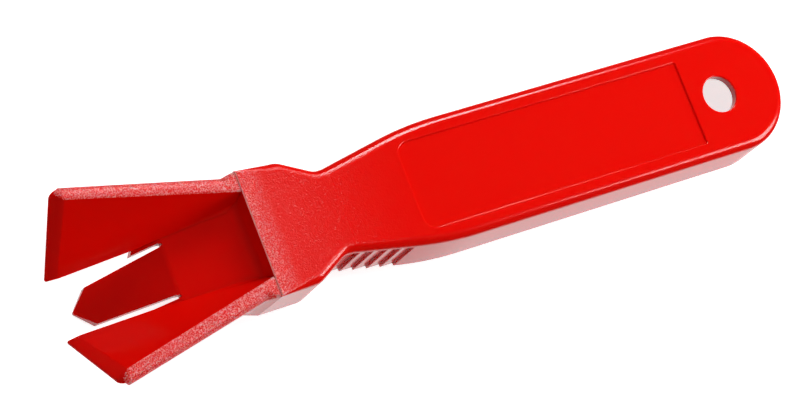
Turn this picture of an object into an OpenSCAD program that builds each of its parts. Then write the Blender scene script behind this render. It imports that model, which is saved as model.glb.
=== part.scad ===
// Hand tool for scraping old sealant out of a corner, one plastic moulding.
// It is drawn with the top of its handle level and the step at the root of the head
// at x = 0, blades towards -X, and is then laid down as it rests on a table.

/* [Handle] */
// Distance from the step to the end of the handle
handle_l = 149; // [135:0.5:165]
// Width of the handle
handle_w = 30; // [27:0.5:34]
// Depth of the side skirts at the step
skirt_h = 16.6; // [15:0.2:19]
// How much shallower the skirts are at the hanging end
skirt_taper = 1.8; // [0:0.1:2.5]
// How far the skirts stand out at their lower edge
draft = 0.6; // [0.2:0.1:0.9]
// Thickness of the side skirts
skirt_t = 2.4; // [1.8:0.1:3]
// Thickness of the top plate
plate_t = 2.3; // [1.8:0.1:2.8]
// Radius along the top edges of the handle
edge_r = 2.3; // [1.2:0.1:2.6]
// Radius of the same edges where they meet the step
step_r = 0.5; // [0.3:0.1:1]

/* [Neck] */
// Width of the neck at the step
neck_w = 30.8; // [29:0.2:34]
// Width of the neck at its shoulders
shoulder_w = 29.8; // [27:0.2:32]
// Distance from the step to the shoulders
shoulder_x = 11.2; // [9:0.2:13]
// Width between the fingers at the waist
waist_w = 20.2; // [18:0.2:23]
// Distance from the step to the waist
waist_x = 20; // [18:0.5:22]
// Distance from the step to where the handle reaches its full width
grip_x = 46; // [43:0.5:50]

/* [Finger ridges] */
// Number of steps cut in each flank
ridge_n = 5; // [3:1:6]
// Distance from one step to the next
ridge_pitch = 3.45; // [2.4:0.05:3.6]

/* [Hanging hole] */
// Radius of the hole
hole_r = 4.6; // [3:0.1:6]
// Distance from the hole's centre to the end of the handle
hole_inset = 18.5; // [12:0.5:22]

/* [Label panel] */
// Distance from the step to the panel
panel_x = 41; // [36:0.5:50]
// Length of the panel
panel_l = 80.6; // [60:0.5:86]
// Width of the panel
panel_w = 21.4; // [16:0.2:23]
// Depth of the panel below the top of the handle
panel_depth = 0.45; // [0.2:0.05:0.8]
// Radius of the panel's two corners nearest the step
panel_r = 3; // [1:0.5:5]

/* [Head] */
// Length of the side blades, from the step to their outer corners
blade_l = 42.8; // [38:0.2:48]
// Width across the outer corners of the side blades
tip_w = 48.2; // [44:0.2:54]
// How far the blades' inner corners reach past their outer ones
tip_skew = 1.3; // [0.4:0.1:2.4]
// Width across the rims where they leave the step
root_w = 29.2; // [27:0.2:30.4]
// Width of the rim along each side blade
rim_w = 3.5; // [2.8:0.1:4.2]
// How far the rims fall from the step to the corners
rim_fall = 1.6; // [0:0.1:4]
// Thickness of the side blades
blade_t = 2.6; // [2:0.1:3.2]
// Distance between the side blades, across the tongue
blade_gap = 13.8; // [13:0.1:15]
// Depth of the side blades' inner corners below the handle's top
blade_drop = 21.2; // [19:0.2:24]
// Radius of the blades' outer corners
corner_r = 3; // [1:0.5:5]
// Length of the bevel that sharpens each blade
bevel_l = 3.4; // [1.5:0.1:4]
// Thickness left at a sharpened edge
edge_t = 0.6; // [0.4:0.1:1]

/* [Trough and tongue] */
// Depth of the trough's floor at the step
floor_drop = 6.1; // [5:0.1:7.5]
// Width of the floor at the step
floor_w = 17.6; // [16:0.2:18.6]
// Slope of the floor, in degrees
floor_slope = 20; // [17:0.5:22]
// Thickness of the floor and the tongue
floor_t = 2.3; // [1.8:0.1:2.6]
// Distance from the step to the ends of the slots
slot_x = 17.4; // [16:0.2:19]
// Width of each slot at its end
slot_w = 1.4; // [1:0.1:2]
// Slope of the tongue, in degrees
tongue_slope = 43.5; // [40:0.5:46]
// Distance from the step to the tongue's point
tongue_l = 36.8; // [34:0.2:40]
// Length of the tongue's point
point_l = 3.6; // [3:0.2:6]
// Width of the tongue where its point begins
point_w = 9; // [7:0.2:10]

/* [Ribs under the handle] */
// Number of cross ribs
rib_n = 6; // [3:1:9]
// Thickness of the ribs
rib_t = 1.5; // [1:0.1:2]
// How far the ribs stop short of the skirts' lower edge
rib_inset = 4; // [2:0.5:7]

/* [Hidden] */

// Steps of the curves
arc_step = 9;
end_steps = 12;
edge_steps = 6;

// Radii of the bends in the handle's outline and of the fillet under the top plate
shoulder_r = 5;
waist_r = 5;
grip_r = 90;
root_r = 1.2;

// How far the outline runs on past the step, and how far joined parts run into each other
overshoot = 8;
lap = 1;

// The skirts go on under the head as a heel and then as a keel below each blade
heel_l = 2.4;
heel_in = 0.8;
keel_w = 1.5;
keel_drop = 1.2;

// The blades stand a little wider at the slots' ends than at their tips, and a ledge of
// the floor goes on beside each slot
toe_spread = 0.5;
ledge_l = 5;
ledge_w = 0.15;

hole_x = handle_l - hole_inset;
blend_l = shoulder_x - 2;
tip_x = -blade_l;
inner_tip_x = tip_x - tip_skew;
bend_x = -slot_x - 0.4;

function skirt_z(x) = -skirt_h + skirt_taper * x / handle_l;
function floor_z(x) = -floor_drop + tan(floor_slope) * x;
function tongue_z(x) = floor_z(bend_x) + tan(tongue_slope) * (x - bend_x);

// The tool rests on the point of its tongue and on the end of its handle.
foot_x = handle_l + draft;
point_z = tongue_z(-tongue_l) - edge_t;
rest_tilt = atan2(skirt_z(foot_x) - point_z, foot_x + tongue_l);
low_z = tongue_l * sin(rest_tilt) + point_z * cos(rest_tilt);
left_x = inner_tip_x * cos(rest_tilt) - blade_drop * sin(rest_tilt);
right_x = (handle_l - edge_r) * cos(rest_tilt) - edge_r * sin(rest_tilt) + edge_r;

function unit(v) = v / norm(v);
function left_of(v) = [-v.y, v.x];

// A corner of a path, [x, y, radius], as an arc that is tangent to both of its sides.
function corner(a, b, c) =
    let (u = unit([a.x - b.x, a.y - b.y]),
         v = unit([c.x - b.x, c.y - b.y]),
         half = acos(u * v) / 2,
         middle = [b.x, b.y] + unit(u + v) * b.z / sin(half),
         turn = cross(u, v) > 0 ? 1 : -1,
         n = max(2, ceil((180 - 2 * half) / arc_step)),
         start = [b.x, b.y] + u * b.z / tan(half) - middle)
    [for (i = [0 : n]) let (t = -turn * (180 - 2 * half) * i / n)
        middle + [start.x * cos(t) - start.y * sin(t), start.x * sin(t) + start.y * cos(t)]];

// The far half of the handle's outline, from in front of the step round to its end.
side = [[0, neck_w / 2, 0],
        [shoulder_x, shoulder_w / 2, shoulder_r],
        [waist_x, waist_w / 2, waist_r],
        [grip_x, handle_w / 2, grip_r],
        [handle_l - handle_w / 2, handle_w / 2, 0]];
end_arc = [for (i = [0 : end_steps]) let (t = 90 - 90 * i / end_steps)
    [handle_l - handle_w / 2 + handle_w / 2 * cos(t), handle_w / 2 * sin(t)]];
half_line = concat(
    [[-overshoot, neck_w / 2 + (neck_w - shoulder_w) / 2 * overshoot / shoulder_x]],
    [[0, neck_w / 2]],
    [for (i = [1 : len(side) - 2]) each corner(side[i - 1], side[i], side[i + 1])],
    end_arc);
outline = concat(
    [for (i = [len(half_line) - 1 : -1 : 0]) half_line[i]],
    [for (i = [0 : len(half_line) - 2]) [half_line[i].x, -half_line[i].y]]);

// The outline moved inwards by d along the mean normal of each point.
function inset(line, d) = let (n = len(line)) [for (i = [0 : n - 1])
    let (a = unit(line[i] - line[(i + n - 1) % n]),
         b = unit(line[(i + 1) % n] - line[i]),
         m = unit(left_of(a) + left_of(b)))
    line[i] + m * d / (m * left_of(a))];

// A ring of n points filled with strips that run across it, starting from point 0.
function cap(n) = concat(
    [for (i = [0 : (n - 3) / 2]) [i, i + 1, n - i - 1]],
    [for (i = [1 : (n - 2) / 2]) [i, n - i - 1, n - i]]);

// A solid through a stack of closed rings of 3-D points, all with the same count.
module loft(rings) {
    n = len(rings[0]);
    last = len(rings) - 1;
    polyhedron(
        points = [for (ring = rings) each ring],
        faces = concat(
            cap(n),
            [for (k = [0 : last - 1]) for (i = [0 : n - 1])
                let (a = k * n + i, b = k * n + (i + 1) % n)
                each [[a, a + n, b], [b, a + n, b + n]]],
            [for (f = cap(n)) [f.z, f.y, f.x] + last * n * [1, 1, 1]]));
}

// Rings of the handle: level, along the lower edge, and t degrees up the top edge, whose
// radius grows from the step to the shoulders.
function level(d, z) = [for (p = inset(outline, d)) [p.x, p.y, z]];
function lower_edge(d, drop) = [for (p = inset(outline, d)) [p.x, p.y, skirt_z(p.x) - drop]];
function edge_at(x) = step_r + (edge_r - step_r) * min(1, max(0, x) / blend_l);
function top_edge(t) =
    let (inner = inset(outline, 1))
    [for (i = [0 : len(outline) - 1])
        let (r = edge_at(outline[i].x), p = outline[i] + (inner[i] - outline[i]) * r * (1 - cos(t)))
        [p.x, p.y, -r * (1 - sin(t))]];

module handle_block() {
    loft(concat([lower_edge(-draft, 0)], [for (i = [0 : edge_steps]) top_edge(90 * i / edge_steps)]));
}

module handle_pocket() {
    intersection() {
        loft([lower_edge(skirt_t - draft, lap), level(skirt_t, -plate_t - root_r),
            level(skirt_t + root_r, -plate_t)]);
        translate([skirt_t, -handle_w, -2 * skirt_h]) cube([handle_l, 2 * handle_w, 2 * skirt_h]);
    }
}

// Notches cut in the far flank of the waist. Each one is parallel to the handle and ends in
// a step that faces the head.
module finger_notches() {
    slope = (handle_w - waist_w) / 2 / (grip_x - waist_x);
    for (i = [0 : ridge_n - 1])
        translate([waist_x + i * ridge_pitch, waist_w / 2 + slope * i * ridge_pitch, -edge_r - 0.2])
            rotate([atan2(draft, skirt_h - edge_r), 0, 0])
                translate([0, 0, -2 * skirt_h]) cube([ridge_pitch, ridge_pitch, 2 * skirt_h]);
}

module ribs() {
    run = hole_x - 2 * hole_r;
    intersection() {
        union() {
            for (i = [1 : rib_n])
                translate([i * run / rib_n, -handle_w / 2, -2 * skirt_h])
                    cube([rib_t, handle_w, 2 * skirt_h]);
            translate([0, -rib_t / 2, -2 * skirt_h]) cube([run, rib_t, 2 * skirt_h]);
        }
        loft([lower_edge(skirt_t / 2, -rib_inset), level(skirt_t / 2, -plate_t / 2)]);
    }
}

module label_panel() {
    translate([panel_x, 0, -panel_depth]) linear_extrude(2 * panel_depth)
        polygon(concat(
            corner([panel_l, -panel_w / 2], [0, -panel_w / 2, panel_r], [0, panel_w / 2]),
            corner([0, -panel_w / 2], [0, panel_w / 2, panel_r], [panel_l, panel_w / 2]),
            [[panel_l, panel_w / 2], [panel_l, -panel_w / 2]]));
}

module handle() {
    difference() {
        handle_block();
        handle_pocket();
        translate([-2 * overshoot, -handle_w, -2 * skirt_h])
            cube([2 * overshoot, 2 * handle_w, 3 * skirt_h]);
        label_panel();
        for (s = [0, 1]) mirror([0, s, 0]) finger_notches();
    }
    ribs();
}

// Heights and half widths along a side blade, worked out at a distance x from the step.
function rim_z(x) = rim_fall * min(x, 0) / blade_l;
function rim_out(x) = root_w / 2 + (tip_w - root_w) / 2 * -x / blade_l;
function rim_in(x) = rim_out(x) - rim_w;
function toe_y(x) = x > -slot_x
    ? floor_w / 2 + (blade_gap / 2 + toe_spread - floor_w / 2) * -x / slot_x
    : blade_gap / 2 + toe_spread * (x - inner_tip_x) / (-slot_x - inner_tip_x);
function toe_z(x) = x > -slot_x
    ? floor_z(x)
    : floor_z(-slot_x) - (blade_drop + floor_z(-slot_x)) * (x + slot_x) / (inner_tip_x + slot_x);
function toe(x) = [toe_y(x), toe_z(x)];
function below(x) = toe(x) - [0, floor_t];

// Lean of the face inside the trough, and the point behind the toe through the thickness.
function lean(x) = atan2(rim_z(x) - toe_z(x), rim_in(x) - toe_y(x));
function behind(x) = toe(x) + blade_t * [sin(lean(x)), -cos(lean(x))];

// The rim's outer edge of radius r, from the top of the rim to where it is tangent to the
// line down to the heel.
function rim_edge(x, r, heel) =
    let (middle = [rim_out(x) - r, rim_z(x) - r],
         v = heel - middle,
         stop = atan2(v.y, v.x) + acos(r / norm(v)))
    [for (i = [0 : edge_steps]) let (t = 90 + (stop - 90) * i / edge_steps)
        [x, middle.x + r * cos(t), middle.y + r * sin(t)]];

// One section of a side blade: the rim, its rounded outer edge, the outside, the
// underside and the face inside the trough. heel is the outside's lower corner, sole
// the skirt's inner one, and hollow lies under the trough's floor.
function blade_ring(x, r, heel, sole, hollow) = concat(
    [[x, rim_in(x), rim_z(x)]],
    rim_edge(x, r, heel),
    [for (p = [heel, sole, hollow, toe(x)]) [x, p.x, p.y]]);

// A ring moved to x and drawn in round its own middle, so that it ends inside the handle.
function buried(ring, x) =
    let (middle = [for (i = [0 : len(ring) - 1]) 1] * ring / len(ring))
    [for (p = ring) let (q = middle + 0.9 * (p - middle)) [x, q.y, q.z]];

module side_blade() {
    past_tip = inner_tip_x - bevel_l;
    end_heel = behind(past_tip);
    heel_x = -heel_l;
    keel = behind(-slot_x) - [0, keel_drop];
    root = blade_ring(0, step_r, [neck_w / 2 - heel_in, skirt_z(0)], [neck_w / 2 - skirt_t, skirt_z(0)],
        below(0));
    difference() {
        loft([
            buried(root, lap),
            root,
            blade_ring(heel_x, edge_r, [rim_out(heel_x) - heel_in / 2, skirt_z(0)],
                [rim_out(heel_x) - skirt_t, skirt_z(0)], below(heel_x)),
            blade_ring(-slot_x, edge_r, keel + [keel_w / 3, 0], keel - [keel_w * 2 / 3, 0],
                below(-slot_x)),
            blade_ring(past_tip, edge_r, end_heel, (2 * end_heel + toe(past_tip)) / 3,
                (end_heel + 2 * toe(past_tip)) / 3)]);
        blade_end();
    }
}

// What is cut from a blade's end: the bevel on its trough side and its rounded corner.
module blade_end() {
    width = norm([tip_w / 2 - blade_gap / 2, rim_z(tip_x) + blade_drop]);
    far = 4 * blade_t;
    translate([inner_tip_x, blade_gap / 2, -blade_drop]) rotate([lean(inner_tip_x), 0, 0])
        rotate([0, 0, -atan2(tip_skew, width)]) {
            translate([0, 2 * width, 0]) rotate([90, 0, 0]) linear_extrude(3 * width)
                polygon([[-far, -far], [0, -far], [0, -blade_t + edge_t], [bevel_l, 0],
                         [bevel_l, far], [-far, far]]);
            translate([0, 0, -far]) linear_extrude(2 * far)
                difference() {
                    translate([-corner_r, width - corner_r]) square(2 * corner_r);
                    translate([corner_r, width - corner_r]) circle(corner_r, $fn = 48);
                    translate([corner_r, width - 2 * corner_r]) square([corner_r, 3 * corner_r]);
                }
        }
}

// The floor and the tongue are one bent plate, seen from the side.
module floor_side() {
    tip = -tongue_l;
    thin = tip + point_l;
    polygon([
        [lap, floor_z(lap)], [bend_x, floor_z(bend_x)], [tip, tongue_z(tip)], [tip, point_z],
        [thin, tongue_z(thin) - floor_t],
        [bend_x, floor_z(bend_x) - floor_t], [lap, floor_z(lap) - floor_t]]);
}

// The same plate's outline from above: its far edge, from inside the handle to the point.
module floor_plan() {
    slot_out = toe_y(-slot_x) - ledge_w;
    ledge_x = -slot_x - ledge_l;
    half = [
        [lap, floor_w / 2 + lap], [-slot_x, toe_y(-slot_x) + lap], [ledge_x, toe_y(ledge_x) + lap],
        [ledge_x, slot_out], [-slot_x, slot_out], [-slot_x, slot_out - slot_w],
        [point_l - tongue_l, point_w / 2]];
    polygon(concat(half, [[-tongue_l, 0]],
        [for (i = [len(half) - 1 : -1 : 0]) [half[i].x, -half[i].y]]));
}

module trough_floor() {
    intersection() {
        translate([0, handle_w / 2, 0]) rotate([90, 0, 0]) linear_extrude(handle_w) floor_side();
        translate([0, 0, -3 * skirt_h]) linear_extrude(3 * skirt_h) floor_plan();
    }
}

module head() {
    for (s = [0, 1]) mirror([0, s, 0]) side_blade();
    trough_floor();
}

module scraper() {
    color("red")
    translate([-(left_x + right_x) / 2, 0, -low_z]) rotate([0, rest_tilt, 0])
        difference() {
            union() {
                handle();
                head();
            }
            translate([hole_x, 0, -2 * plate_t]) cylinder(h = 3 * plate_t, r = hole_r, $fn = 64);
        }
}

scraper();
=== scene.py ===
"""Looks of a one-piece red plastic tool for scraping old caulk out of a corner.

The shapes are worked out in millimetres in the tool's own frame: the top of the handle is
z = 0, the step at the root of the head is x = 0, the blades point towards -x, and y runs
across. laid_down() then tips the tool as it rests on a table and turns it into metres.
"""

import math

import bmesh
import bpy
import numpy as np
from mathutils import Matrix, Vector


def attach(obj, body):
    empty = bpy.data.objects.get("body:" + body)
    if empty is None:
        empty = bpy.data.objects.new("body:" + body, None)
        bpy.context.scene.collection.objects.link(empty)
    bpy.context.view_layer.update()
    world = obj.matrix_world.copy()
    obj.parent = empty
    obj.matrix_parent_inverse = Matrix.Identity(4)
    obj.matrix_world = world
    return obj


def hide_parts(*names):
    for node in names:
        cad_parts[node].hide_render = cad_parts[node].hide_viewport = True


bl_info = {
    "name": "Caulk tool looks",
    "version": (1, 0, 0),
    "blender": (4, 5, 0),
    "location": "View3D > Sidebar > Caulk tool",
    "description": "Builds the moulded tool, its plastic and a plain studio",
    "category": "Add Mesh",
}

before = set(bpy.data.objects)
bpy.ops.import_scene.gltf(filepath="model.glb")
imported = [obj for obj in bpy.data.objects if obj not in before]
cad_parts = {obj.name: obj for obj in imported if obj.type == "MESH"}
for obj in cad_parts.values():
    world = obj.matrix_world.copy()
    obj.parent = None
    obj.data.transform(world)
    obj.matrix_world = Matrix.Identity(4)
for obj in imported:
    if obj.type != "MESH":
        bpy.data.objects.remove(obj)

# Handle: lengths in millimetres along x from the step, heights from the handle's top
HANDLE_L = 149.0
HANDLE_W = 30.0
EDGE_R = 2.3
STEP_R = 0.5
DRAFT = 0.6
SKIRT_H = 16.6
SKIRT_TAPER = 1.8
SKIRT_T = 2.4
PLATE_T = 2.3
LIP_R = 0.4
PLATE_FILLET = 1.2

# A ledge ends the finger steps below the top edge, and cutters stand clear of what they cut
LEDGE_DROP = 0.2
LEDGE_T = 0.04
CLEAR = 0.05
OVERSHOOT = 2.0

# The outline's corners (x, half width, radius) between the step and the round end, and how
# far from the step the top edge comes to its full radius
SIDE_LINE = ((0.0, 15.4, 0), (11.2, 14.9, 5.0), (20.0, 10.1, 5.0), (46.0, 15.0, 90.0))
BLEND_L = 9.2

# Finger steps on the flanks, with the radius of their risers
RIDGES = 5
RIDGE_PITCH = 3.45
RIDGE_R = 0.12

# Hanging hole
HOLE_X = HANDLE_L - 18.5
HOLE_R = 4.6
HOLE_EDGE = 0.3

# The panel's start, end and half width, then the radii of its corners and of its edge
PANEL = (41.0, 121.6, 10.7)
PANEL_R = 3.0
PANEL_END_R = 0.3
PANEL_DEPTH = 0.4
PANEL_DRAFT = 0.08
PANEL_EDGE_R = 0.22

# Ribs under the top plate: the spine runs along the middle, a little shallower than the rest
RIBS = 6
RIB_T = 1.5
RIB_INSET = 4.0
RIB_TOP = -1.2
SPINE_X = 1.2
SPINE_RISE = 0.4
SPINE_TOP = -1.1

# Head: each table gives a measure at a few distances from the step
HEEL_X = -3.0
SLOT_X = -17.4
NOTCH_X = -23.0
TIP_X = -42.7
TIP_SKEW = 1.2
CAD_TIP_X = -44.1
BLADE_T = 2.6
EDGE_T = 0.55
NOSE_R = 0.25
BEVEL_L = 2.6
BEVEL_CURVE = 1.3
CORNER_R = 3.0
TOE_R = 0.35
RIM_DIP = 0.25
RIM_FALL = 1.35
RIM_IN = ((TIP_X, 20.8), (0.0, 10.5))
RIM_OUT = ((TIP_X, 24.05), (HEEL_X, 14.95), (0.0, 15.35))
RIM_R = ((HEEL_X, EDGE_R), (0.0, 0.5))
LAND_R = 0.8
TOE_Y = ((TIP_X, 6.9), (NOTCH_X, 7.25), (0.0, 8.85))
TOE_Z = ((TIP_X, -21.2), (NOTCH_X, -14.5), (0.0, -6.1))
TROUGH_R = ((NOTCH_X, 0.1), (SLOT_X, 0.6), (0.0, 3.5))
HEEL_Y = 14.6

# The keel's outer and inner corner across from the blade's lower corner, and their drop
KEEL = (0.5, -1.0, 1.2)

# Floor and tongue: the floor's drop and slope at the step, then the bend, the point, the slots
FLOOR_DROP = 6.1
FLOOR_SLOPE = 20.0
FLOOR_T = 2.3
FLOOR_SINK = 1.0
FLOOR_EDGE_R = 0.18
WALL_TOP = -0.7
WALL_R = 5.0
BEND_R = 4.0
TONGUE_SLOPE = 43.5
TONGUE_BEND = -17.8
TONGUE_L = 36.8
POINT_L = 3.6
POINT_W = 9.0
SLOT_IN = 5.85
SLOT_OUT = 6.75
SLOT_END = 0.5
SLOT_TAPER = 1.0

# Finish: the plastic and its painted highlight, pale colour that stands for glints on its grain,
# the grain's height in metres, and the angle past which an edge is sharp
RED = (0.84, 0.004, 0.001, 1)
# pale colour of the painted highlight on the grain's bump tops and the step's rounded edge
PAINTED_GLINT = (0.97, 0.34, 0.34, 1)
GRAIN_HEIGHT = 0.0001
SHARP = 32

# Lights: name, place, aim, size, share of the key light's power, seen in reflections
LIGHTS = (
    ("end", (0.65, -0.3, 0.38), (0, 0, 0.01), 0.4, 0.6, True),
    ("far side", (0.35, 0.55, 0.5), (0, 0, 0), 0.3, 0.55, True),
    ("above", (0.1, 0.05, 0.95), (0, 0, 0), 0.3, 0.4, False),
    ("head", (-0.75, 0.0, 0.55), (0, 0, 0), 0.3, 0.08, False),
)

# Camera: lens in millimetres, place in metres, turn in degrees, and half the paper's width
LENS = 132.02
CAMERA_PLACE = (-0.274209, -0.106347, 0.643387)
CAMERA_TURN = (16.63815, -17.95060, -22.37710)
PAPER = 3


def resting():
    """How the tool lies: the rotation about y that brings the tongue's point and the
    handle's end to the same height, and the move that then puts the box's bottom centre at
    the origin. Returns the rotation matrix and the move in millimetres."""
    point = np.array([-TONGUE_L, 0, -FLOOR_DROP + TONGUE_BEND * math.tan(math.radians(FLOOR_SLOPE))
                      - (TONGUE_L + TONGUE_BEND) * math.tan(math.radians(TONGUE_SLOPE)) - EDGE_T])
    foot = HANDLE_L + DRAFT
    tilt = math.atan2(skirt_z(foot) - point[2], foot - point[0])
    c, s = math.cos(tilt), math.sin(tilt)
    turn = np.array([[c, 0, s], [0, 1, 0], [-s, 0, c]])
    left = turn @ (CAD_TIP_X, 0, TOE_Z[0][1])
    right = turn @ (HANDLE_L - EDGE_R, 0, -EDGE_R)
    return turn, np.array([-(left[0] + right[0] + EDGE_R) / 2, 0, -(turn @ point)[2]])


def laid_down(points):
    """Points in millimetres in the tool's frame as metres in the row's frame."""
    turn, move = resting()
    return (points @ turn.T + move) / 1000


def along(table, x):
    """A measure at x, by straight lines between the (x, measure) pairs of a table."""
    xs, ys = zip(*table)
    return np.interp(x, xs, ys)


def skirt_z(x):
    """Height of the skirts' lower edge, which rises towards the hanging end."""
    return -SKIRT_H + SKIRT_TAPER * x / HANDLE_L


def draft(x):
    """How far the skirts' lower edge stands out, which grows from the step."""
    return DRAFT * np.clip(0.2 + x / 15, 0.2, 1)


def edge_at(x):
    """Radius of the handle's top edge, which grows from the step to the shoulders."""
    return STEP_R + (EDGE_R - STEP_R) * np.clip(x / BLEND_L, 0, 1)


def rim_z(x):
    """Height of a blade's rim, which starts just below the step and falls to the corner."""
    return -RIM_DIP + RIM_FALL * np.minimum(x, 0) / -TIP_X


def toe(x):
    """Inner lower corner (y, z) of a blade's section."""
    return np.stack([along(TOE_Y, x), along(TOE_Z, x)], -1)


def arc_corner(a, b, c, r, steps):
    """Points of an arc of radius r tangent to the lines b-a and b-c, going from a to c.
    All of a, b and c may be stacks of 2-D points, and r is cut back to what fits."""
    u, v = a - b, c - b
    lu, lv = (np.maximum(np.linalg.norm(w, axis=-1, keepdims=True), 1e-6) for w in (u, v))
    u, v = u / lu, v / lv
    half = np.arccos(np.clip((u * v).sum(-1, keepdims=True), -0.9999, 0.9999)) / 2
    reach = np.minimum(r / np.tan(half), 0.48 * np.minimum(lu, lv))
    r = reach * np.tan(half)
    middle = b + (u + v) / np.maximum(np.linalg.norm(u + v, axis=-1, keepdims=True), 1e-6) * (
        r / np.sin(half))
    start, end = b + u * reach - middle, b + v * reach - middle
    sweep = np.pi - 2 * half
    t = np.linspace(0, 1, steps + 1).reshape((-1,) + (1,) * start.ndim)
    arc = (np.sin((1 - t) * sweep) * start + np.sin(t * sweep) * end) / np.sin(sweep)
    return middle + arc


def rounded_loop(corners, radii, steps):
    """Closed section through stacks of corners (corner, station, 2), each rounded by its
    radius in its own number of steps. Returns (station, point, 2)."""
    n = len(corners)
    parts = [arc_corner(corners[i - 1], corners[i], corners[(i + 1) % n], radii[i], steps[i])
             for i in range(n)]
    return np.moveaxis(np.concatenate(parts), 0, 1)


def ridge_stations(low, high):
    """Stations x of the finger steps on the flank between two corners, and how deep each cuts:
    evenly deeper along a step, then x = r(1 - cos t), deep = r(1 - sin t) down its riser."""
    t = np.radians(np.linspace(0, 90, 5))[1:]
    rise = RIDGE_PITCH * (high[1] - low[1]) / (high[0] - low[0])
    within = np.concatenate([[0.2, RIDGE_PITCH / 2, RIDGE_PITCH - 0.02, RIDGE_PITCH],
                             RIDGE_PITCH + RIDGE_R * (1 - np.cos(t))])
    deep = np.concatenate([[0.0, rise / 2, rise, RIDGE_R], RIDGE_R * (1 - np.sin(t))])
    x = low[0] + RIDGE_PITCH * np.arange(RIDGES)[:, None] + within
    return x.ravel(), np.tile(deep, RIDGES)


def outline():
    """The handle seen from above as one path from the far side of the step round the end to
    the near side: straight flanks with tangent arcs, then a half circle. Returns the path
    and how deep the finger steps cut it at each point."""
    corners = np.array([c[:2] for c in SIDE_LINE] + [(HANDLE_L - HANDLE_W / 2, HANDLE_W / 2)])

    # from the step, round the three corners, along the grip and round the end
    x = np.linspace(0, BLEND_L - 0.4, 10)
    parts = [np.column_stack([x, np.interp(x, corners[:2, 0], corners[:2, 1])])]
    for i in (1, 2, 3):
        parts.append(arc_corner(corners[i - 1], corners[i], corners[i + 1], SIDE_LINE[i][2], 12))
    x = np.linspace(parts[-1][-1, 0] + 5, corners[4, 0] - 4, 12)
    parts.append(np.column_stack([x, np.full(12, HANDLE_W / 2)]))
    t = np.linspace(np.pi / 2, 0, 28)
    parts.append(corners[4] + HANDLE_W / 2 * np.column_stack([np.cos(t), np.sin(t) - 1]))
    smooth = np.concatenate(parts)

    # the flank's own points make way for those of the finger steps
    x, deep = ridge_stations(corners[2], corners[3])
    before, after = smooth[smooth[:, 0] < x[0]], smooth[smooth[:, 0] > x[-1] + 0.1]
    flank = smooth[: -len(t)]
    steps = np.column_stack([x, np.interp(x, flank[:, 0], flank[:, 1])])
    half = np.concatenate([before, steps, after])
    cut = np.concatenate([np.zeros(len(before)), deep, np.zeros(len(after))])
    return (np.concatenate([half, half[-2::-1] * (1, -1)]),
            np.concatenate([cut, cut[-2::-1]]))


def inset(path, d):
    """An open path moved to its right by d along the mean normal of each point. The two ends
    move straight across only, so that they stay on the step."""
    step = np.diff(path, axis=0)
    normal = np.stack([step[:, 1], -step[:, 0]], -1)
    normal /= np.linalg.norm(normal, axis=1, keepdims=True)
    mean = np.concatenate([normal[:1], normal[:-1] + normal[1:], normal[-1:]])
    mean /= np.linalg.norm(mean, axis=1, keepdims=True)
    scale = 1 / (mean[1:-1] * normal[1:]).sum(1)
    mean[1:-1] *= scale[:, None]
    mean[0], mean[-1] = (0, -1), (0, 1)
    return path + mean * d


def skin(rings):
    """Closed surface through a stack of rings (ring, point, 3): four-sided faces between
    neighbouring rings and one face over each end."""
    m, n = rings.shape[:2]
    k, i = np.meshgrid(np.arange(m - 1), np.arange(n), indexing="ij")
    j = (i + 1) % n
    quads = np.stack([k * n + i, k * n + j, (k + 1) * n + j, (k + 1) * n + i], -1)
    ends = [list(range(n))[::-1], list(range((m - 1) * n, m * n))]
    return rings.reshape(-1, 3), quads.reshape(-1, 4).tolist() + ends


def ring_at(path, d, z, front):
    """The path moved inwards by d, at height z, with its two ends at x = front. d and z may
    be one value or one for each point."""
    unit = inset(path, 1.0) - path
    ring = path + unit * np.broadcast_to(d, len(path))[:, None]
    ring[[0, -1], 0] = front
    return np.column_stack([ring, np.broadcast_to(z, len(path))])


def new_mesh(name, verts, faces):
    """A mesh object with outward faces, laid down into the row's frame."""
    mesh = bpy.data.meshes.new(name)
    mesh.from_pydata(laid_down(np.asarray(verts, float)).tolist(), [], faces)
    bm = bmesh.new()
    bm.from_mesh(mesh)
    bmesh.ops.recalc_face_normals(bm, faces=bm.faces)
    bm.to_mesh(mesh)
    bm.free()
    obj = bpy.data.objects.new(name, mesh)
    bpy.context.scene.collection.objects.link(obj)
    return obj


def combined(obj, other, operation):
    """Applies a boolean of other to obj and throws other away."""
    mod = obj.modifiers.new(operation.lower(), "BOOLEAN")
    mod.operation, mod.object, mod.solver = operation, other, "EXACT"
    apply_all(obj)
    bpy.data.objects.remove(other)
    if not obj.data.polygons:
        raise RuntimeError(f"nothing is left of {obj.name}")


def apply_all(obj):
    """Replaces an object's mesh by what its modifiers make of it."""
    graph = bpy.context.evaluated_depsgraph_get()
    made = bpy.data.meshes.new_from_object(obj.evaluated_get(graph))
    obj.modifiers.clear()
    obj.data = made


def softened(obj, width):
    """Rounds every edge sharper than 40 degrees by width millimetres."""
    mod = obj.modifiers.new("edges", "BEVEL")
    mod.width, mod.segments, mod.limit_method = width / 1000, 2, "ANGLE"
    mod.angle_limit = math.radians(40)
    mod.harden_normals = False
    apply_all(obj)


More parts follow.
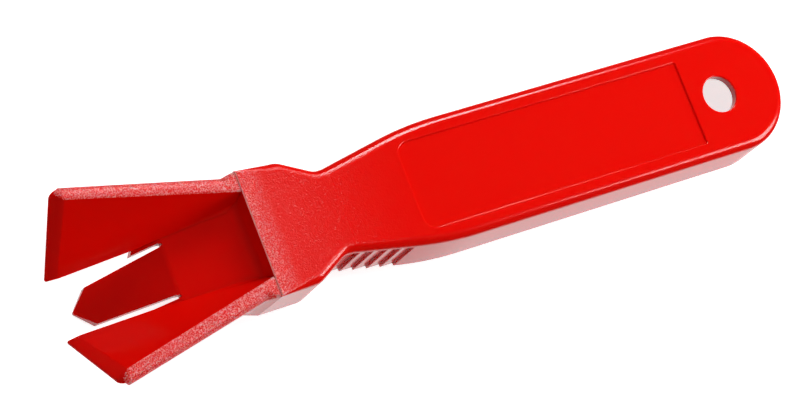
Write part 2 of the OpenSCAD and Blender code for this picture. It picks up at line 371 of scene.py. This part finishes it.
def dressed(obj, materials, grained=None):
    """Gives the piece its plastic and smooth shading, and lets it stand for the CAD node.
    grained takes face centres in millimetres in the tool's frame and their normals, and says
    which faces take the second material."""
    mesh = obj.data
    mesh.materials.clear()
    for m in materials:
        mesh.materials.append(m)
    if grained is not None:
        n = len(mesh.polygons)
        centre, normal = np.zeros(n * 3), np.zeros(n * 3)
        mesh.polygons.foreach_get("center", centre)
        mesh.polygons.foreach_get("normal", normal)
        turn, move = resting()
        centre = (centre.reshape(-1, 3) * 1000 - move) @ turn
        normal = normal.reshape(-1, 3) @ turn
        mesh.polygons.foreach_set("material_index", grained(centre, normal).astype(np.int32))
    mesh.shade_smooth()
    mesh.set_sharp_from_angle(angle=math.radians(SHARP))
    mod = obj.modifiers.new("flat faces stay flat", "WEIGHTED_NORMAL")
    mod.weight, mod.keep_sharp = 100, True
    apply_all(obj)
    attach(obj, "root")
    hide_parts("scraper")


def handle_solid():
    """The handle's outside, ring on ring: the lip of the lower edge, the wall with its draft
    and the finger steps, then the top edge, x = r(1 - cos t), z = -r(1 - sin t), whose r grows
    from the step. The step's own edge is the same curve turned to face the head."""
    path, cut = outline()
    x, low = path[:, 0], draft(path[:, 0])
    top = -edge_at(x)
    ledge = np.minimum(top, -EDGE_R) - LEDGE_DROP
    share = (ledge - skirt_z(x)) / (top - skirt_z(x))
    rings = [ring_at(path, cut + LIP_R - low, skirt_z(x), 0.0),
             ring_at(path, cut + LIP_R * 0.3 - low, skirt_z(x) + LIP_R * 0.3, 0.0),
             ring_at(path, cut - low, skirt_z(x) + LIP_R, 0.0),
             ring_at(path, cut - low * (1 - share), ledge - LEDGE_T, 0.0),
             ring_at(path, -low * (1 - share), ledge, 0.0)]
    for t in np.radians(np.linspace(0, 90, 13)):
        rings.append(ring_at(path, -top * (1 - math.cos(t)), top * (1 - math.sin(t)),
                             STEP_R * (1 - math.cos(t))))
    return new_mesh("handle", *skin(np.array(rings)))


def pocket():
    """The hollow under the handle: the outline moved in by the skirts' thickness, with its
    front end behind the wall below the step, rounded where it meets the top plate."""
    path, _ = outline()
    path = path[path[:, 0] > SKIRT_T]
    x = path[:, 0]
    rings = [ring_at(path, SKIRT_T - draft(x), skirt_z(x) - OVERSHOOT, SKIRT_T)]
    for t in np.radians(np.linspace(0, 90, 5)):
        rings.append(ring_at(path, SKIRT_T + PLATE_FILLET * (1 - math.cos(t)),
                             -PLATE_T - PLATE_FILLET * (1 - math.sin(t)), SKIRT_T))
    return new_mesh("pocket", *skin(np.array(rings)))


def spool():
    """The hanging hole as a solid of revolution, r = R + e(1 - cos t) at e(1 - sin t) from
    each face of the top plate, which it leaves a little flared."""
    t = np.radians(np.linspace(0, 75, 6))
    flare, rise = HOLE_EDGE * (1 - np.cos(t)), HOLE_EDGE * (1 - np.sin(t))
    wide = HOLE_R + HOLE_EDGE * 1.3
    r = np.concatenate([[wide, wide], HOLE_R + flare[::-1], HOLE_R + flare, [wide, wide]])
    z = np.concatenate([[-PLATE_T - OVERSHOOT, -PLATE_T - CLEAR], -PLATE_T + rise[::-1],
                        -rise, [CLEAR, OVERSHOOT]])
    a = np.linspace(0, 2 * np.pi, 72, endpoint=False)
    rings = np.stack([HOLE_X + r[:, None] * np.cos(a), r[:, None] * np.sin(a),
                      np.broadcast_to(z[:, None], (len(z), len(a)))], -1)
    return new_mesh("spool", *skin(rings))


def panel_cutter():
    """The shallow panel: a rectangle with its two head-end corners rounded, stacked from its
    floor up a drafted wall to a small quarter circle at the handle's top."""
    x0, x1, w = PANEL
    corners = np.array([[x0, w], [x0, -w], [x1, -w], [x1, w]])
    radii = (PANEL_R, PANEL_R, PANEL_END_R, PANEL_END_R)
    rings = []
    levels = [(0.0, -PANEL_DEPTH)]
    for t in np.radians(np.linspace(0, 80, 5)):
        levels.append((-PANEL_DRAFT - PANEL_EDGE_R * (1 - math.cos(t)),
                       -PANEL_EDGE_R * (1 - math.sin(t))))
    levels.append((-0.4, 0.5))
    for d, z in levels:
        grown = corners + np.sign(corners - corners.mean(0)) * -d
        loop = rounded_loop(grown[:, None], [r - d for r in radii], (10, 10, 3, 3))[0]
        rings.append(np.column_stack([loop, np.full(len(loop), z)]))
    return new_mesh("panel", *skin(np.array(rings)))


def box_verts(x0, x1, y0, y1, low, high):
    """Corners of a block between x0 and x1 and y0 and y1, whose bottom follows low(x)."""
    x = np.array([x0, x1, x1, x0])
    y = np.array([y0, y0, y1, y1])
    return np.concatenate([np.column_stack([x, y, low(x)]),
                           np.column_stack([x, y, np.full(4, high)])])


def blocks(name, boxes):
    """One mesh made of separate closed blocks."""
    one = np.array([[3, 2, 1, 0], [4, 5, 6, 7], [0, 1, 5, 4], [1, 2, 6, 5], [2, 3, 7, 6],
                    [3, 0, 4, 7]])
    verts = np.concatenate(boxes)
    faces = (one[None] + 8 * np.arange(len(boxes))[:, None, None]).reshape(-1, 4)
    return new_mesh(name, verts, faces.tolist())


def half_width(x):
    """Half width of the handle's top at x."""
    path, _ = outline()
    half = path[: len(path) // 2 + 1]
    return np.interp(x, half[:, 0], half[:, 1])


def ribs(count):
    """Cross ribs at an even pitch and one along the middle, sunk into the plate and skirts."""
    end = HOLE_X - 2 * HOLE_R
    boxes = []
    for x in np.linspace(0, end, count + 1)[1:]:
        w = min(half_width(x), half_width(x + RIB_T)) - SKIRT_T / 2
        boxes.append(box_verts(x, x + RIB_T, -w, w, lambda q: skirt_z(q) + RIB_INSET, RIB_TOP))
    boxes.append(box_verts(SPINE_X, end + RIB_T / 2 - CLEAR, -RIB_T / 2, RIB_T / 2,
                           lambda q: skirt_z(q) + RIB_INSET + SPINE_RISE, SPINE_TOP))
    return blocks("ribs", boxes)


def rim_arc(outer, r, heel, steps):
    """Arcs round a rim's outer edge, stacked by station: radius r, touching the rim's top and
    its outer side outer, down to where they are tangent to the line to the heel."""
    middle = outer - r[:, None]
    v = heel - middle
    stop = np.arctan2(v[:, 1], v[:, 0]) + np.arccos(r / np.linalg.norm(v, axis=1))
    t = np.linspace(0, 1, steps + 1)[:, None]
    a = np.pi / 2 + (stop - np.pi / 2) * t
    return middle + r[:, None] * np.stack([np.cos(a), np.sin(a)], -1)


def round_off(r, left):
    """How much a corner of radius r takes off at a distance left from the end:
    r - sqrt(r^2 - (r - left)^2)."""
    return r - np.sqrt(r**2 - np.clip(r - left, 0, r) ** 2)


def blade_stations():
    """Where along x a blade has its sections, from inside the handle to the tip. Along the
    bevel they crowd towards the tip as x = tip + L(1 - sin t)."""
    bevel = TIP_X + BEVEL_L * (1 - np.sin(np.radians(np.linspace(0, 90, 22))))
    return np.concatenate([
        [1.2, 0.0], np.linspace(-0.3, HEEL_X, 8), np.linspace(HEEL_X - 1, SLOT_X, 12),
        np.linspace(SLOT_X, NOTCH_X, 6)[1:], np.linspace(NOTCH_X, bevel[0], 10)[1:], bevel[1:]])


def underside(x, foot, under, thin):
    """Corners of a blade's lower side, from the outside in: heel, sole and hollow. By the step
    they follow the handle's wall, under the trough they make a keel below the floor, and past
    the notch, where thin is 1, they share out the blade's own lower edge. Between those places
    the corners move evenly."""
    full = np.interp(x, (SLOT_X, HEEL_X), (0, 1))[:, None]
    keel = 1 - thin - full
    step_y = np.interp(x, (HEEL_X, 0.0), (HEEL_Y, SIDE_LINE[0][1] + draft(0.0)))
    skirt = np.stack([step_y, np.full(len(x), skirt_z(0.0))], -1)
    heel = thin * under + keel * (under + (KEEL[0], -KEEL[2])) + full * skirt
    sole = (thin * (foot + 2 * under) / 3 + keel * (under + (KEEL[1], -KEEL[2]))
            + full * (skirt - (SKIRT_T, 0)))
    hollow = thin * (2 * foot + under) / 3 + (1 - thin) * (foot - (0, FLOOR_T))
    return heel, sole, hollow


def sharpened(loop, foot, out, face, wall, left):
    """Thins a blade's sections to its edge and rounds its lower corner. Depth is measured from
    the inner face along out, height from the foot along face, and wall is the face's height.
    The inner face's depth is at least b = (T - E)(1 - left / L)^c times a share, which grows
    from 0.2 at the foot to 1 at the rim, and the outer face's is at most T less the rest of b."""
    deep = np.einsum("spc,sc->sp", loop - foot[:, None], out)
    high = np.einsum("spc,sc->sp", loop - foot[:, None], face)
    share = 0.2 + 0.8 * np.clip(high / wall[:, None], 0, 1)
    bevel = (BLADE_T - EDGE_T) * np.clip(1 - left / BEVEL_L, 0, 1)[:, None] ** BEVEL_CURVE
    nose = round_off(NOSE_R, left)[:, None]
    beveled = (left < BEVEL_L)[:, None]
    least = np.where(beveled, bevel * share + nose, -np.inf)
    most = np.where(beveled, BLADE_T + 0.1 * left[:, None] - bevel * (1 - share) - nose, np.inf)
    loop = loop + out[:, None] * (np.clip(deep, least, np.maximum(most, least)) - deep)[..., None]
    high = np.einsum("spc,sc->sp", loop - foot[:, None], face)
    lift = np.where(left < TOE_R, round_off(TOE_R, left), -np.inf)[:, None]
    return loop + face[:, None] * np.maximum(lift - high, 0)[..., None]


def blade(side):
    """One side blade as a stack of sections along x. Each section runs up over the rim, round
    its outer edge, down the outside to the heel, under the floor and back over a hollow
    fillet to the face inside the trough. Towards the tip the rim slides down the blade, which
    rounds its corner, the section is sharpened, and the tip leans by a share of x^4 that grows
    towards the inner corner."""
    x = blade_stations()
    left = x - TIP_X
    foot = toe(x)
    inner = np.stack([along(RIM_IN, x), rim_z(x)], -1)
    outer = np.stack([along(RIM_OUT, x), rim_z(x)], -1)
    wall = np.linalg.norm(inner - foot, axis=1)
    face = (inner - foot) / wall[:, None]
    out = np.stack([face[:, 1], -face[:, 0]], -1)
    down = face * round_off(CORNER_R, left)[:, None]
    under = foot + out * BLADE_T
    thin = np.interp(x, (NOTCH_X, SLOT_X), (1, 0))[:, None]
    heel, sole, hollow = underside(x, foot, under, thin)

    # the section's last corner lies on the floor as far as the slot, then at the blade's foot
    r = along(TROUGH_R, x)
    on_floor = x > SLOT_X
    reach = np.where(on_floor, 0.6 * r + 0.2, 0.05)
    floor_in = foot - np.stack([reach, np.where(on_floor, 0.02, 0.0)], -1)
    floor_low = floor_in - (0, 0.3) * (1 - thin) + (under - foot) * 0.05 * thin
    rim = rim_arc(outer - down, along(RIM_R, x), heel, 12)
    parts = [arc_corner(foot, inner - down, rim[0], LAND_R, 5), rim,
             arc_corner(rim[-1], heel, sole, 0.5, 3), arc_corner(heel, sole, hollow, 0.5, 3),
             arc_corner(sole, hollow, floor_low, 0.2, 2), floor_low[None], floor_in[None],
             arc_corner(floor_in, foot, inner - down, r[:, None], 6)]
    loop = np.moveaxis(np.concatenate(parts), 0, 1)
    loop = sharpened(loop, foot, out, face, wall, left)

    width = np.clip((loop[..., 1] - foot[:, None, 1]) / (inner - foot)[:, None, 1], 0, 1)
    skew = TIP_SKEW * (np.clip(x / TIP_X, 0, 1) ** 4)[:, None] * (1 - width)
    rings = np.stack([x[:, None] - skew, side * loop[..., 0], loop[..., 1]], -1)
    middle = rings[0].mean(0)
    rings[0] = middle + (rings[0] - middle) * (1, 0.85, 0.85)
    return new_mesh("blade_far" if side > 0 else "blade_near", *skin(rings))


def on_rim(centre, normal):
    """Which of a blade's faces are grained: those on its rim and the outer edge below it, short
    of the tip and not turned towards it."""
    x, y, z = centre.T
    return ((z > rim_z(x) - 3.5) & (np.abs(y) > along(RIM_IN, x) - 0.1)
            & (x > TIP_X + 1.0) & (normal[:, 0] > -0.6))


def on_top(centre, normal):
    """Which of the handle's faces are grained: its top, but not the panel's floor."""
    return (normal[:, 2] > 0.5) & (centre[:, 2] > -PANEL_DEPTH / 2)


def floor_side():
    """The floor and tongue seen from the side: a plate that comes down the step's wall over a
    fillet, slopes, bends over a radius and slopes more, and is thinned below at its point."""
    s0, s1 = (math.tan(math.radians(s)) for s in (FLOOR_SLOPE, TONGUE_SLOPE))
    bend_z = -FLOOR_DROP + s0 * TONGUE_BEND
    tip, thin = -TONGUE_L, POINT_L - TONGUE_L
    point_z = bend_z + s1 * (tip - TONGUE_BEND)
    start, crisp = -0.01, 0.01
    corners = np.array([
        [FLOOR_SINK, WALL_TOP], [start, WALL_TOP], [start, -FLOOR_DROP],
        [TONGUE_BEND, bend_z], [tip, point_z], [tip, point_z - EDGE_T],
        [thin, bend_z + s1 * (thin - TONGUE_BEND) - FLOOR_T],
        [TONGUE_BEND, bend_z - FLOOR_T], [FLOOR_SINK, -FLOOR_DROP + s0 * FLOOR_SINK - FLOOR_T]])
    radii = (crisp, crisp, WALL_R, BEND_R, 0.15, 0.15, 1.0, BEND_R, crisp)
    steps = (1, 1, 10, 10, 3, 3, 3, 10, 1)
    return rounded_loop(corners[:, None], radii, steps)[0]


def floor_plan():
    """The same plate seen from above, with the two slots beside the tongue. Each slot ends in
    a rounded point."""
    half = np.array([[FLOOR_SINK, 10.0], [SLOT_X, 8.4], [NOTCH_X, 8.0], [NOTCH_X - 0.6, SLOT_OUT],
                     [SLOT_X - SLOT_TAPER, SLOT_OUT],
                     [SLOT_X + SLOT_END, (SLOT_IN + SLOT_OUT) / 2],
                     [SLOT_X - SLOT_TAPER, SLOT_IN],
                     [POINT_L - TONGUE_L, POINT_W / 2], [-TONGUE_L + 0.1, 0.2]])
    corners = np.concatenate([half, half[::-1] * (1, -1)])
    radii = (0.1, 0.1, 0.1, 0.1, 0.6, 0.3, 0.6, 0.3, 0.15)
    steps = (1, 1, 1, 1, 4, 4, 4, 4, 2)
    return rounded_loop(corners[:, None], radii + radii[::-1], steps + steps[::-1])[0]


def trough_floor():
    """The bent plate carried across y, and cut by its plan carried up z."""
    side, plan = floor_side(), floor_plan()
    across = np.array([np.column_stack([side[:, 0], np.full(len(side), y), side[:, 1]])
                       for y in (-12.0, 12.0)])
    upright = np.array([np.column_stack([plan, np.full(len(plan), z)]) for z in (-45.0, 5.0)])
    obj = new_mesh("trough_floor", *skin(across))
    combined(obj, new_mesh("plan", *skin(upright)), "INTERSECT")
    softened(obj, FLOOR_EDGE_R)
    return obj


def fed(link, entry, value):
    """Gives a node's input a number or the output of another node."""
    if isinstance(value, bpy.types.NodeSocket):
        link(value, entry)
    else:
        entry.default_value = value


def maths(nodes, link, operation, *values):
    """The result of a Math node on up to three numbers or outputs."""
    node = nodes.new("ShaderNodeMath")
    node.operation = operation
    for entry, value in zip(node.inputs, values):
        fed(link, entry, value)
    return node.outputs[0]


def ramped(nodes, link, value, reach, result):
    """The result of a Map Range node: as value crosses reach it goes evenly from the first
    to the second of result, and stays there outside."""
    node = nodes.new("ShaderNodeMapRange")
    for name, given in zip(("Value", "From Min", "From Max", "To Min", "To Max"),
                           (value, *reach, *result)):
        fed(link, node.inputs[name], given)
    return node.outputs["Result"]


def grain_group():
    """Node group: a spark-eroded mould texture, small pits and bumps of two sizes. Height and
    Fade die away with distance from the step along x. The third output says where a painted
    highlight goes, pale colour in place of glints that soft lights don't give: on the tops of the
    bumps from the step forwards, and on the step's rounded edge."""
    g = bpy.data.node_groups.new("Mould grain", "ShaderNodeTree")
    for name, default in (("Scale", 3200.0), ("Full until", -0.045), ("Gone at", -0.005),
                          ("Step", -0.051), ("Least", 0.06)):
        entry = g.interface.new_socket(name, in_out="INPUT", socket_type="NodeSocketFloat")
        entry.default_value = default
    for name in ("Height", "Fade", "Painted glint"):
        g.interface.new_socket(name, in_out="OUTPUT", socket_type="NodeSocketFloat")
    n, link = g.nodes, g.links.new
    given, result = n.new("NodeGroupInput").outputs, n.new("NodeGroupOutput").inputs
    coord = n.new("ShaderNodeTexCoord")
    place = n.new("ShaderNodeSeparateXYZ")
    link(coord.outputs["Object"], place.inputs[0])
    facing = n.new("ShaderNodeSeparateXYZ")
    link(coord.outputs["Normal"], facing.inputs[0])
    fade = ramped(n, link, place.outputs["X"], (given["Full until"], given["Gone at"]),
                  (1.0, given["Least"]))
    cells = n.new("ShaderNodeTexVoronoi")
    cells.feature = "SMOOTH_F1"
    link(coord.outputs["Object"], cells.inputs["Vector"])
    link(given["Scale"], cells.inputs["Scale"])
    bumps = cells.outputs["Distance"]
    noise = n.new("ShaderNodeTexNoise")
    noise.inputs["Detail"].default_value = 2.0
    link(coord.outputs["Object"], noise.inputs["Vector"])
    link(maths(n, link, "MULTIPLY", given["Scale"], 0.6), noise.inputs["Scale"])
    both = maths(n, link, "ADD", bumps, noise.outputs["Fac"])
    link(maths(n, link, "MULTIPLY", both, fade), result["Height"])
    link(fade, result["Fade"])
    # painted highlight: pale on the bump tops from the step forwards and along the step's rounded
    # edge
    on_head = ramped(n, link, place.outputs["X"], (given["Step"], given["Full until"]), (1.0, 0.0))
    tops = ramped(n, link, bumps, (0.3, 0.7), (0.0, on_head))
    rounded = maths(n, link, "COMPARE", facing.outputs["Z"], 0.65, 0.32)
    at_step = maths(n, link, "COMPARE", place.outputs["X"], given["Step"], 0.0012)
    edge = maths(n, link, "MULTIPLY", rounded, at_step)
    link(maths(n, link, "MAXIMUM", edge, tops), result["Painted glint"])
    return g


def plastic(name, colour):
    """Smooth red moulded plastic that lets a little light through, as a new material."""
    m = bpy.data.materials.new(name)
    m.use_nodes = True
    shader = m.node_tree.nodes["Principled BSDF"]
    shader.inputs["Base Color"].default_value = colour
    shader.inputs["Roughness"].default_value = 0.15
    shader.inputs["IOR"].default_value = 1.5
    shader.inputs["Subsurface Weight"].default_value = 1.0
    shader.inputs["Subsurface Radius"].default_value = (1.0, 0.05, 0.03)
    shader.inputs["Subsurface Scale"].default_value = 0.0007
    return m


def grained_plastic(name, colour, height):
    """The same plastic where the mould was grained: its normal and roughness follow the
    grain, and a painted highlight makes the tops of the bumps by the step and the step's edge
    pale."""
    m = plastic(name, colour)
    n, link = m.node_tree.nodes, m.node_tree.links.new
    shader = n["Principled BSDF"]
    grain = n.new("ShaderNodeGroup")
    grain.node_tree = grain_group()
    bump = n.new("ShaderNodeBump")
    bump.inputs["Strength"].default_value = 1.0
    bump.inputs["Distance"].default_value = height
    link(grain.outputs["Height"], bump.inputs["Height"])
    link(bump.outputs["Normal"], shader.inputs["Normal"])
    # the painted highlight is mixed into the base colour
    painted_glint_mix = n.new("ShaderNodeMix")
    painted_glint_mix.data_type = "RGBA"
    painted_glint_mix.inputs["A"].default_value = colour
    painted_glint_mix.inputs["B"].default_value = PAINTED_GLINT
    link(grain.outputs["Painted glint"], painted_glint_mix.inputs["Factor"])
    link(painted_glint_mix.outputs["Result"], shader.inputs["Base Color"])
    link(ramped(n, link, grain.outputs["Fade"], (0.0, 1.0), (0.13, 0.36)),
         shader.inputs["Roughness"])
    return m


def finishes(settings):
    """The smooth and the grained plastic, made once and then found again."""
    names = "Red plastic, smooth", "Red plastic, grained"
    made = [bpy.data.materials.get(name) for name in names]
    if all(made):
        return made
    return [plastic(names[0], settings.colour),
            grained_plastic(names[1], settings.colour, settings.grain_height)]


class CaulkToolSettings(bpy.types.PropertyGroup):
    """Values a user may change before building."""

    ribs: bpy.props.IntProperty(
        name="Cross ribs", description="Ribs across the hollow under the handle",
        default=RIBS, min=1, max=20)
    colour: bpy.props.FloatVectorProperty(
        name="Plastic", description="Colour of the plastic",
        subtype="COLOR", size=4, default=RED, min=0.0, max=1.0)
    grain_height: bpy.props.FloatProperty(
        name="Grain height", description="Height of the mould's grain on the rims and the neck",
        default=GRAIN_HEIGHT, min=0.0, unit="LENGTH")
    key_power: bpy.props.FloatProperty(
        name="Key light", description="Power that each light takes its share of",
        default=6.4, min=0.0, unit="POWER")
    fill: bpy.props.FloatProperty(
        name="Surroundings", description="Strength of the light from all round",
        default=0.06, min=0.0, max=1.0)
    mirrored: bpy.props.FloatProperty(
        name="Mirrored", description="Strength of the surroundings as reflections see them",
        default=0.03, min=0.0, max=1.0)


class CAULK_OT_handle(bpy.types.Operator):
    """Build the handle with its hanging hole, panel, finger steps and ribs"""

    bl_idname = "caulk.handle"
    bl_label = "Handle"

    def execute(self, context):
        settings = context.scene.caulk_tool
        smooth, grained = finishes(settings)
        obj = handle_solid()
        for cutter in (pocket, spool, panel_cutter):
            combined(obj, cutter(), "DIFFERENCE")
        dressed(obj, (smooth, grained), on_top)
        dressed(ribs(settings.ribs), (smooth,))
        return {"FINISHED"}


class CAULK_OT_head(bpy.types.Operator):
    """Build the side blades and the floor with its tongue"""

    bl_idname = "caulk.head"
    bl_label = "Head"

    def execute(self, context):
        smooth, grained = finishes(context.scene.caulk_tool)
        for side in (-1, 1):
            dressed(blade(side), (smooth, grained), on_rim)
        dressed(trough_floor(), (smooth,))
        return {"FINISHED"}


def area_light(name, place, aim, size, power, mirrored):
    """A square soft light at place, turned to aim, both in metres. Unless it is mirrored,
    reflections don't show it."""
    data = bpy.data.lights.new(name, "AREA")
    data.size, data.energy = size, power
    obj = bpy.data.objects.new(name, data)
    obj.location = place
    obj.rotation_euler = (Vector(aim) - Vector(place)).to_track_quat("-Z", "Y").to_euler()
    obj.visible_glossy = mirrored
    bpy.context.scene.collection.objects.link(obj)


def surroundings(fill, mirrored):
    """The world: white to the camera, and weaker to diffuse and to glossy rays."""
    world = bpy.data.worlds.new("surroundings")
    world.use_nodes = True
    n, link = world.node_tree.nodes, world.node_tree.links.new
    back = n["Background"]
    back.inputs["Color"].default_value = (1, 1, 1, 1)
    ray = n.new("ShaderNodeLightPath").outputs
    diffuse = maths(n, link, "MULTIPLY", ray["Is Diffuse Ray"], fill)
    both = maths(n, link, "MULTIPLY_ADD", ray["Is Glossy Ray"], mirrored, diffuse)
    link(maths(n, link, "ADD", ray["Is Camera Ray"], both), back.inputs["Strength"])
    return world


def camera():
    """The camera, where the photograph was taken from."""
    data = bpy.data.cameras.new("camera")
    data.lens = LENS
    data.clip_start, data.clip_end = 0.05, 20
    obj = bpy.data.objects.new("camera", data)
    obj.location = CAMERA_PLACE
    obj.rotation_euler = [math.radians(a) for a in CAMERA_TURN]
    bpy.context.scene.collection.objects.link(obj)
    return obj


class CAULK_OT_stage(bpy.types.Operator):
    """Build the floor, the lights, the surroundings and the camera"""

    bl_idname = "caulk.stage"
    bl_label = "Stage"

    def execute(self, context):
        scene = context.scene
        settings = scene.caulk_tool
        mesh = bpy.data.meshes.new("floor")
        corners = [(x * PAPER, y * PAPER, 0) for x, y in ((-1, -1), (1, -1), (1, 1), (-1, 1))]
        mesh.from_pydata(corners, [], [(0, 1, 2, 3)])
        mesh.materials.append(paper())
        floor = bpy.data.objects.new("floor", mesh)
        scene.collection.objects.link(floor)
        for name, place, aim, size, share, mirrored in LIGHTS:
            area_light(name, place, aim, size, settings.key_power * share, mirrored)
        scene.world = surroundings(settings.fill, settings.mirrored)
        scene.camera = camera()
        scene.view_settings.view_transform = "Standard"
        return {"FINISHED"}


def paper():
    """White floor: it takes shadows and looks white to the camera. In reflections it is a
    plain white that goes dark at a slant, as a small sheet does."""
    m = bpy.data.materials.new("White floor")
    m.use_nodes = True
    n, link = m.node_tree.nodes, m.node_tree.links.new
    shader = n["Principled BSDF"]
    shader.inputs["Base Color"].default_value = (0.9, 0.9, 0.9, 1)
    shader.inputs["Roughness"].default_value = 0.9
    shader.inputs["Specular IOR Level"].default_value = 0.0
    shader.inputs["Emission Color"].default_value = (1, 1, 1, 1)
    ray = n.new("ShaderNodeLightPath").outputs
    link(maths(n, link, "MULTIPLY", ray["Is Camera Ray"], 0.75),
         shader.inputs["Emission Strength"])
    slant = n.new("ShaderNodeLayerWeight").outputs["Facing"]
    sheet = n.new("ShaderNodeEmission")
    link(ramped(n, link, slant, (0.25, 0.5), (1.0, 0.03)), sheet.inputs["Strength"])
    pick = n.new("ShaderNodeMixShader")
    link(ray["Is Glossy Ray"], pick.inputs[0])
    link(shader.outputs["BSDF"], pick.inputs[1])
    link(sheet.outputs["Emission"], pick.inputs[2])
    link(pick.outputs["Shader"], n["Material Output"].inputs["Surface"])
    return m


class CAULK_PT_panel(bpy.types.Panel):
    """Sidebar panel with the settings and one button for each step"""

    bl_idname = "CAULK_PT_panel"
    bl_label = "Caulk tool"
    bl_space_type = "VIEW_3D"
    bl_region_type = "UI"
    bl_category = "Caulk tool"

    def draw(self, context):
        settings = context.scene.caulk_tool
        for name in ("ribs", "colour", "grain_height", "key_power", "fill", "mirrored"):
            self.layout.prop(settings, name)
        for op in STEPS:
            self.layout.operator(op.bl_idname)


STEPS = (CAULK_OT_handle, CAULK_OT_head, CAULK_OT_stage)
CLASSES = (CaulkToolSettings, *STEPS, CAULK_PT_panel)


def register():
    """Adds the settings, the operators and the panel to Blender."""
    for c in CLASSES:
        bpy.utils.register_class(c)
    bpy.types.Scene.caulk_tool = bpy.props.PointerProperty(type=CaulkToolSettings)


def unregister():
    """Takes them away again, in the opposite order."""
    del bpy.types.Scene.caulk_tool
    for c in reversed(CLASSES):
        bpy.utils.unregister_class(c)


def main():
    """Builds everything."""
    register()
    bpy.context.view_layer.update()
    bpy.ops.caulk.handle()
    bpy.ops.caulk.head()
    bpy.ops.caulk.stage()


if __name__ == "__main__":
    main()
